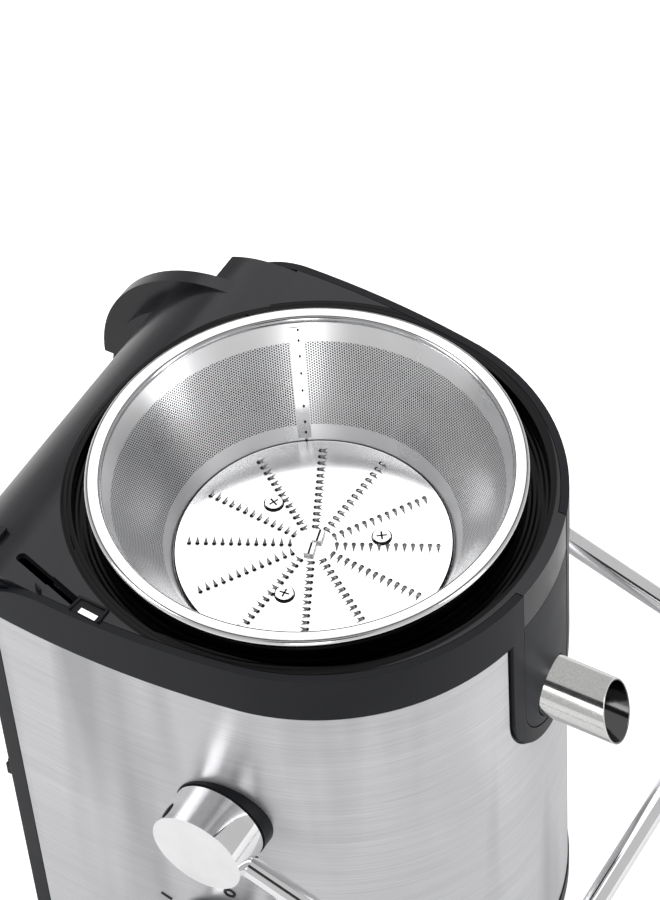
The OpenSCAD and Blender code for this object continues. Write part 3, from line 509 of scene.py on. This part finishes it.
# housing with softened edges
softened = {
    # node: (name, edge width, body, slot, finish)
    "top_collar": ("collarBand", 0.45 * mm, "housing", "satin_black", "satinBlack"),
    "left_cover": ("sideCover", 0.5 * mm, "housing", "satin_black", "satinBlack"),
    "base_plate": ("basePlinth", 0.5 * mm, "housing", "satin_black", "satinBlack"),
    "spout_plate": ("spoutPlate", 0.35 * mm, "housing", "satin_black", "plateSheenBlack"),
    "steel_wrap": ("steelWrap", 0.2 * mm, "housing", "brushed_wrap", "brushedWrap"),
    "juice_bowl": ("juiceBowl", 0.45 * mm, "housing", "gloss_black", "deckBlack"),
    "spout_tube": ("spoutTube", 0.25 * mm, "housing", "bright_steel", "spoutSteel"),
    "front_hub": ("frontHub", 0.8 * mm, "bail", "polished_chrome", "polishedChrome"),
    "rear_hub": ("rearHub", 0.8 * mm, "bail", "polished_chrome", "polishedChrome"),
    "speed_knob": ("speedKnob", 1.2 * mm, "dial", "polished_chrome", "polishedChrome"),
}
deckGroove = ((-65.0, -92.1, 267.0), (38.5, 4.5, 9.0), -17.1, 2.2)  # middle, size, angle, rounding

for node, (name, width, body, slot, finish) in softened.items():
    piece = mergedCopy(node, name)
    if node == "juice_bowl":
        carve(piece, deckGroove)
    softenEdges(piece, width)
    settle(piece, body, slot, finish, node)
    print("softened", name, len(piece.data.polygons))


# small parts of the basket
def adopt(name):  # names the new primitive and bakes its place into the mesh
    piece = bpy.context.object
    piece.name = name
    selectOnly(piece)
    bpy.ops.object.transform_apply(location=True, rotation=True, scale=True)
    return piece


def copyTurned(piece, name, angle):
    selectOnly(piece)
    bpy.ops.object.duplicate(linked=False)
    copy = bpy.context.object
    copy.name = name
    copy.rotation_euler.z = math.radians(angle)
    bpy.ops.object.transform_apply(location=True, rotation=True, scale=True)
    return copy


def repeatAlongX(piece, count, step):
    row = piece.modifiers.new("row", "ARRAY")
    row.count = count
    row.use_relative_offset = False
    row.use_constant_offset = True
    row.constant_offset_displace = (step, 0, 0)
    applyAll(piece)


def spreadRound(piece, name, digits, count, turn, slot, finish):  # copies turned about the axis
    for i in range(1, count):
        copy = copyTurned(piece, f"{name}{i:0{digits}d}", turn + i * 360 / count)
        settle(copy, "basket", slot, finish)
    piece.name = name + "0" * digits
    piece.rotation_euler.z = math.radians(turn)
    settle(piece, "basket", slot, finish)


teeth = {
    "rows": 12, "count": 13, "firstRadius": 9.7 * mm, "lastRadius": 51.6 * mm, "turn": -3.5,
    "discTop": 226.6 * mm, "length": 2.9 * mm, "base": 0.85 * mm, "tip": 0.03 * mm, "lean": 58,
    "sides": 12, "smoothAngle": 50,
    "ahead": 0.5 * mm, "holeRadius": 0.85 * mm, "holeDepth": 0.1 * mm, "holeLift": 0.02 * mm,
    "ringRadius": 1.05 * mm, "ringThickness": 0.16 * mm, "ringSides": (24, 6),
}
roundSides = 20  # of small flat discs
ringSmooth = 60


def makeTeeth(values):
    step = (values["lastRadius"] - values["firstRadius"]) / (values["count"] - 1)
    start = values["firstRadius"]
    top = values["discTop"]
    lean = math.radians(values["lean"])
    half = values["length"] / 2
    bpy.ops.mesh.primitive_cone_add(
        vertices=values["sides"], radius1=values["base"], radius2=values["tip"],
        depth=values["length"], rotation=(lean, 0, 0),
        location=(start, -half * math.sin(lean), top + half * math.cos(lean)))
    spike = adopt("toothSpike")
    smooth(spike, values["smoothAngle"])
    # painted shade: a thin dark disc over each punched hole
    bpy.ops.mesh.primitive_cylinder_add(
        vertices=roundSides, radius=values["holeRadius"], depth=values["holeDepth"],
        location=(start, values["ahead"], top + values["holeLift"]))
    hole = adopt("toothHoleShade")
    bpy.ops.mesh.primitive_torus_add(
        major_segments=values["ringSides"][0], minor_segments=values["ringSides"][1],
        major_radius=values["ringRadius"], minor_radius=values["ringThickness"],
        location=(start, values["ahead"], top))
    ring = adopt("toothRing")
    smooth(ring, ringSmooth)
    makings = [
        (spike, "spikeRow", "bright_steel", "toothShadeSteel"),
        (hole, "holeShadeRow", "satin_black", "rubberBlack"),
        (ring, "ringRow", "bright_steel", "pressedSteel"),
    ]
    for piece, name, slot, finish in makings:
        repeatAlongX(piece, values["count"], step)
        spreadRound(piece, name, 2, values["rows"], values["turn"], slot, finish)
    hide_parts("grater_teeth")


makeTeeth(teeth)
print("rows of teeth made")

# painted shade: thin dark rings along the rim's edges, in the gap round the disc and round each
# screw head
shadeRings = {
    # name: (radius, thickness, height) in millimetres
    "rimShadeOut": (88.6, 0.15, 274.85),
    "rimShadeIn": (84.2, 0.15, 274.78),
    "discGapShade": (57.62, 0.30, 226.2),
    "screwGapShade": (4.05, 0.26, 226.95),
}
gapSides = (192, 8)


def makeRing(name, values, at=(0, 0)):
    radius, thickness, height = (v * mm for v in values)
    bpy.ops.mesh.primitive_torus_add(
        major_segments=gapSides[0], minor_segments=gapSides[1], major_radius=radius,
        minor_radius=thickness, location=(at[0], at[1], height))
    ring = adopt(name)
    smooth(ring, ringSmooth)
    return ring


screws = {
    "count": 3, "circle": 28.4 * mm, "turn": 36.0, "crossZ": 227.12 * mm,
    "length": 4.4 * mm, "width": 1.25 * mm, "thickness": 0.04 * mm,
}


def makeScrewMarks(values):  # painted shade in each screw's cross recess and in the gap round its head
    bpy.ops.mesh.primitive_cube_add(size=1, location=(values["circle"], 0, values["crossZ"]))
    bpy.context.object.scale = (values["length"], values["width"], values["thickness"])
    cross = adopt("screwCrossShade")
    bpy.ops.object.mode_set(mode="EDIT")
    bpy.ops.mesh.select_all(action="SELECT")
    bpy.ops.mesh.duplicate()
    bpy.ops.transform.rotate(value=math.radians(90), orient_axis="Z",
                             center_override=(values["circle"], 0, values["crossZ"]))
    bpy.ops.object.mode_set(mode="OBJECT")
    ring = makeRing("screwRingShade", shadeRings["screwGapShade"], (values["circle"], 0))
    for piece, name in ((cross, "screwCrossShade"), (ring, "screwRingShade")):
        spreadRound(piece, name, 1, values["count"], values["turn"], "satin_black", "rubberBlack")


makeScrewMarks(screws)
for ringName in ("discGapShade", "rimShadeOut", "rimShadeIn"):
    settle(makeRing(ringName, shadeRings[ringName]), "basket", "satin_black", "rubberBlack")
print("screws and gaps marked")

welds = {
    "angle": 123.4, "levels": (269, 265, 259, 252.5, 246, 240, 234, 230, 227),
    "radius": 0.5 * mm, "depth": 0.1 * mm, "inset": 1.4 * mm,
}


def makeWelds(values):  # spots of the welded strip, laid on the cone
    slope = (sieve["highRadius"] - sieve["lowRadius"]) / (sieve["highZ"] - sieve["lowZ"])
    lean = math.atan(slope)
    for i, level in enumerate(values["levels"]):
        radius = sieve["lowRadius"] + (level * mm - sieve["lowZ"]) * slope - values["inset"]
        bpy.ops.mesh.primitive_cylinder_add(
            vertices=roundSides, radius=values["radius"], depth=values["depth"],
            location=(radius, 0, level * mm), rotation=(0, math.radians(90) + lean, 0))
        spot = adopt(f"weldSpot{i}")
        spot.rotation_euler.z = math.radians(values["angle"])
        settle(spot, "basket", "satin_black", "rubberBlack")


makeWelds(welds)
print("weld spots made")


# lug on the deck, tabs in the disc's middle, slot in the hub
blockLooks = {
    # look: (body, slot, finish)
    "deckPlastic": ("housing", "gloss_black", "satinBlack"),
    "deckShade": ("housing", "black_rubber", "rubberBlack"),
    "deckSteel": ("housing", "bright_steel", "pressedSteel"),
    "discSteel": ("basket", "bright_steel", "discSteel"),
    "discShade": ("basket", "black_rubber", "rubberBlack"),
}
blocks = {
    # name: (look, middle, size, angle, rounding)
    "lugBack": ("deckPlastic", (-41.9, -94.6, 267.2), (14.6, 1.2, 1.6), -2.0, 0.3),
    "lugLeft": ("deckPlastic", (-48.5, -97.8, 267.2), (1.2, 7.0, 1.6), -10.0, 0.3),
    "lugRight": ("deckPlastic", (-35.2, -98.3, 267.2), (1.2, 7.0, 1.6), 0.0, 0.3),
    "lugShade": ("deckShade", (-41.8, -98.5, 267.0), (12.4, 6.6, 0.5), -4.0, 0.0),
    "lugWindow": ("deckSteel", (-41.0, -100.2, 267.3), (8.2, 2.6, 0.3), -4.0, 0.0),
    "deckFin": ("deckPlastic", (-65.6, -98.4, 267.4), (4.2, 0.9, 2.6), -28.0, 0.3),
    "tabRight": ("discSteel", (0.0, 4.2, 227.5), (4.4, 6.6, 1.6), 15.0, 0.4),
    "tabLeft": ("discSteel", (0.4, -3.4, 227.5), (4.4, 6.6, 1.6), 17.0, 0.4),
    "tabShadeRight": ("discShade", (0.1, 4.2, 228.35), (0.9, 6.2, 0.12), 15.0, 0.0),
    "tabShadeLeft": ("discShade", (0.5, -3.4, 228.35), (0.9, 6.2, 0.12), 17.0, 0.0),
}

for name, (look, *shape) in blocks.items():
    settle(addBlock(name, *shape), *blockLooks[look])
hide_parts("centre_cutters")
print("small blocks made:", len(blocks))

hubSlotShade = {
    "pivotX": 11 * mm, "pivotZ": 164 * mm, "angle": 136.0, "radius": 20.7 * mm,
    "along": -115.0 * mm, "width": 1.5 * mm, "length": 3.9 * mm, "thickness": 0.5 * mm,
    "sides": 32,
}
markGrowth = 0.3 * mm


def makeHubSlot(values):  # painted shade of a slot in the round side of the front hub
    angle = math.radians(values["angle"])
    spot = (values["pivotX"] + values["radius"] * math.cos(angle), values["along"],
            values["pivotZ"] + values["radius"] * math.sin(angle))
    bpy.ops.mesh.primitive_cylinder_add(
        vertices=values["sides"], radius=1, depth=values["thickness"], location=spot,
        rotation=(0, math.pi / 2 - angle, 0))
    slot = bpy.context.object
    slot.name = "hubSlotShade"
    slot.scale = (values["width"], values["length"], 1)
    settle(slot, "bail", "black_rubber", "rubberBlack")


def makeBoldMarks(growth):  # the printed marks, a little heavier
    marks = mergedCopy("dial_marks", "boldMarks")
    ink = marks.modifiers.new("ink", "SOLIDIFY")
    ink.thickness = growth
    ink.offset = 1
    applyAll(marks)
    settle(marks, "housing", "print_black", "printBlack", "dial_marks")


makeHubSlot(hubSlotShade)
makeBoldMarks(markGrowth)
print("hub slot and marks made")


# stage, light
studio = {
    "floor": 5.0, "floorTone": 0.8, "floorRough": 0.9, "ambient": 0.50,
    # what camera rays see added, and what glossy and transmitted ones do
    "floorLift": 0.75, "floorGlow": 0.25, "worldLift": 1.0, "worldGlow": 0.20,
}
lamps = {
    # name: (place, aim height, width, height, power)
    "backCard": ((-0.75, 1.15, 1.75), 0.22, 1.5, 1.5, 9.0),
    "keyCard": ((-1.35, -0.95, 1.35), 0.2, 0.7, 1.3, 12.0),
    "sideCard": ((1.5, 0.35, 0.95), 0.2, 0.35, 1.4, 7.0),
    "frontCard": ((0.9, -1.6, 1.0), 0.2, 0.5, 1.2, 4.0),
}
flags = {
    # name: (place, aim, width, height), black cards that only reflections see
    "cameraFlag": ((0.36, -0.56, 0.92), (0, 0, 0.2), 0.60, 0.34),
}


def makeFlag(name, spot, aim, width, height):
    bpy.ops.mesh.primitive_plane_add(size=1, location=spot)
    card = bpy.context.object
    card.name = name
    card.scale = (width, height, 1)
    card.rotation_euler = (Vector(aim) - card.location).to_track_quat("Z", "Y").to_euler()
    paint(card, "carbonBlack")
    card.visible_camera = False
    card.visible_diffuse = False
    card.visible_shadow = False


def rayShare(tree, strength, glow):  # strength for camera rays, glow for glossy and transmitted
    path = tree.nodes.new("ShaderNodeLightPath")
    shares = {"Is Camera Ray": strength, "Is Glossy Ray": glow, "Is Transmission Ray": glow}
    total = None
    for ray, share in shares.items():
        lift = tree.nodes.new("ShaderNodeMath")
        lift.operation = "MULTIPLY_ADD"
        lift.inputs[1].default_value = share
        lift.inputs[2].default_value = 0.0
        tree.links.new(path.outputs[ray], lift.inputs[0])
        if total:
            tree.links.new(total, lift.inputs[2])
        total = lift.outputs[0]
    return total


def makeWorld(values):
    world = bpy.data.worlds.new("studioWorld")
    bpy.context.scene.world = world
    world.use_nodes = True
    tree = world.node_tree
    plain = tree.nodes["Background"]
    plain.inputs["Color"].default_value = (values["ambient"],) * 3 + (1,)
    white = tree.nodes.new("ShaderNodeBackground")
    white.inputs["Color"].default_value = (1, 1, 1, 1)
    mix = tree.nodes.new("ShaderNodeMixShader")
    tree.links.new(rayShare(tree, values["worldLift"], values["worldGlow"]), mix.inputs[0])
    tree.links.new(plain.outputs[0], mix.inputs[1])
    tree.links.new(white.outputs[0], mix.inputs[2])
    tree.links.new(mix.outputs[0], tree.nodes["World Output"].inputs[0])


def makeFloor(values):
    bpy.ops.mesh.primitive_plane_add(size=values["floor"])
    floor = bpy.context.object
    floor.name = "studioFloor"
    material, shader = newMaterial("paleFloor", 0.0, Roughness=values["floorRough"])
    shader.inputs["Base Color"].default_value = (values["floorTone"],) * 3 + (1,)
    shader.inputs["Emission Color"].default_value = (1, 1, 1, 1)
    lift = rayShare(material.node_tree, values["floorLift"], values["floorGlow"])
    wire(material, lift, shader.inputs["Emission Strength"])
    floor.data.materials.append(material)


def makeLamp(name, spot, aimHeight, width, height, power):
    bpy.ops.object.light_add(type="AREA", location=spot)
    lamp = bpy.context.object
    lamp.name = name
    lamp.data.shape = "RECTANGLE"
    lamp.data.size = width
    lamp.data.size_y = height
    lamp.data.energy = power
    aim = Vector((0, 0, aimHeight)) - lamp.location
    lamp.rotation_euler = aim.to_track_quat("-Z", "Y").to_euler()


makeWorld(studio)
makeFloor(studio)
for lampName, lampValues in lamps.items():
    makeLamp(lampName, *lampValues)
for flagName, flagValues in flags.items():
    makeFlag(flagName, *flagValues)
bpy.context.scene.view_settings.view_transform = "Standard"
print("stage and light ready")
